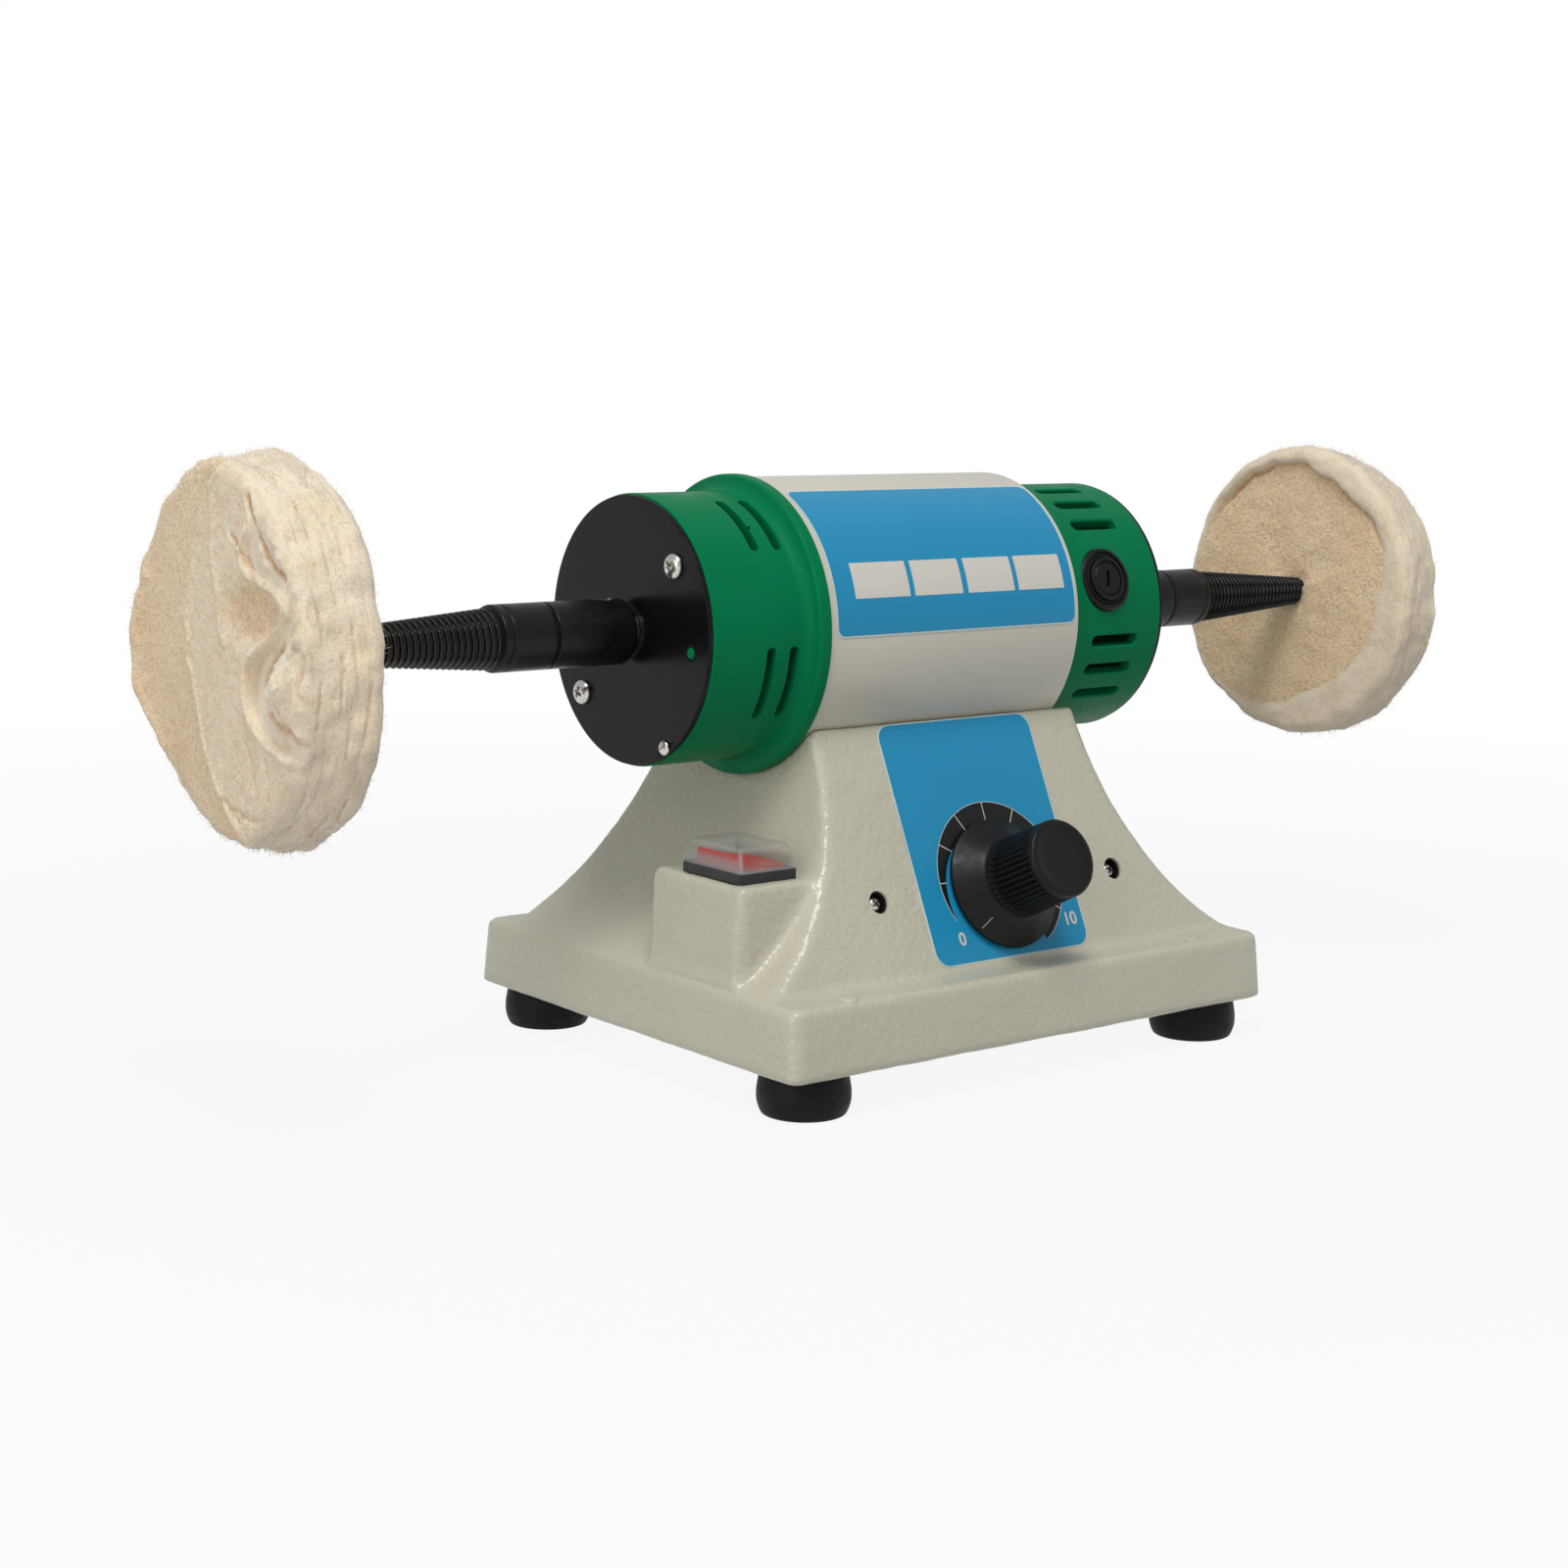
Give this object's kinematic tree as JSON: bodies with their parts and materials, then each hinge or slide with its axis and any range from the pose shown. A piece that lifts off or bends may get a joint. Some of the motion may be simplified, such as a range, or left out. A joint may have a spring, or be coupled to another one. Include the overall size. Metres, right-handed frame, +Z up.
{
  "type": "dental polishing lathe",
  "caption": "Twin-ended bench polishing lathe: flared cast base, motor with tapered threaded spindles, cloth buffs, speed dial and rocker switch.",
  "frame": {"origin": "the middle of the four feet, on the surface that the lathe stands on", "axes": "+X along the motor shaft to the right end seen from the control panel, +Y to the rear, +Z up"},
  "size_m": [0.4645, 0.1869, 0.1915],
  "materials": {
    "cream_paint": "orange peel enamel",
    "black_paint": "satin",
    "green_plastic": "satin moulding",
    "black_rubber": "matt",
    "screw_steel": "bright",
    "zinc_sheet": "galvanised",
    "core_steel": "laminated",
    "copper": "enamelled wire",
    "brass": "satin",
    "bearing_steel": "ground",
    "shaft_steel": "ground",
    "black_oxide": "black oxide",
    "black_plastic": "satin",
    "fan_plastic": "matt",
    "carbon": "matt",
    "moulding": "matt",
    "label_blue": "printed film",
    "cotton": "flannel",
    "white_ink": "matt",
    "board_green": "solder mask",
    "sink_aluminium": "extruded",
    "capacitor_film": "satin",
    "red_plastic": "translucent",
    "clear_vinyl": "clear",
    "nylon": "satin"
  },
  "bodies": {
    "frame": {"base_casting": "cream_paint", "bottom_plate": "zinc_sheet", "rubber_feet": "black_rubber", "foot_screws": "screw_steel", "motor_screws": "screw_steel", "motor_tube": "cream_paint", "motor_label": "label_blue", "left_end_cap": "green_plastic", "right_end_cap": "green_plastic", "left_cover_disc": "black_paint", "right_cover_disc": "black_paint", "tie_bolts": "screw_steel", "cover_screws": "screw_steel", "stator_core": "core_steel", "field_coils": "copper", "left_bearing_outer": "bearing_steel", "right_bearing_outer": "bearing_steel", "brush_holders": "black_plastic", "carbon_brushes": "carbon", "brush_springs": "screw_steel", "brush_caps": "black_plastic", "dial_plate": "label_blue", "panel_screws": "screw_steel", "control_bracket": "zinc_sheet", "pot_case": "zinc_sheet", "pot_nut": "brass", "control_board": "board_green", "board_spacers": "brass", "heat_sink": "sink_aluminium", "triac": "black_plastic", "suppression_capacitor": "capacitor_film", "switch_body": "black_plastic", "switch_boot": "clear_vinyl", "switch_terminals": "brass", "cable_gland": "black_plastic", "gland_nut": "black_plastic", "terminal_block": "nylon"},
    "rotor": {"motor_shaft": "shaft_steel", "armature_core": "core_steel", "armature_windings": "copper", "commutator": "copper", "commutator_hub": "moulding", "cooling_fan": "fan_plastic", "left_bearing_inner": "bearing_steel", "right_bearing_inner": "bearing_steel", "left_spindle": "black_oxide", "right_spindle": "black_oxide", "set_screws": "black_oxide", "left_buff": "cotton", "right_buff": "cotton"},
    "left_cage": {"left_bearing_balls": "bearing_steel"},
    "right_cage": {"right_bearing_balls": "bearing_steel"},
    "knob": {"speed_knob": "black_plastic", "knob_pointer": "white_ink", "pot_shaft": "shaft_steel"},
    "rocker": {"rocker_button": "red_plastic"}
  },
  "joints": [
    {"name": "spindle_spin", "type": "hinge", "parent": "frame", "child": "rotor", "pos_m": [0, 0, 0.138], "axis": [1, 0, 0], "continuous": true},
    {"name": "left_cage_creep", "type": "hinge", "parent": "frame", "child": "left_cage", "pos_m": [0, 0, 0.138], "axis": [1, 0, 0], "continuous": true},
    {"name": "right_cage_creep", "type": "hinge", "parent": "frame", "child": "right_cage", "pos_m": [0, 0, 0.138], "axis": [1, 0, 0], "continuous": true},
    {"name": "knob_turn", "type": "hinge", "parent": "frame", "child": "knob", "pos_m": [0.0025, -0.05955, 0.05771], "axis": [0, 0.9085, -0.4179], "range_deg": [0, 270]},
    {"name": "rocker_tilt", "type": "hinge", "parent": "frame", "child": "rocker", "pos_m": [-0.08173, -0.03429, 0.0684], "axis": [0, -1, 0], "range_deg": [0, 24]}
  ],
  "couplings": [
    {"joint": "left_cage_creep", "follows": "spindle_spin", "ratio": 0.39},
    {"joint": "right_cage_creep", "follows": "spindle_spin", "ratio": 0.39}
  ]
}
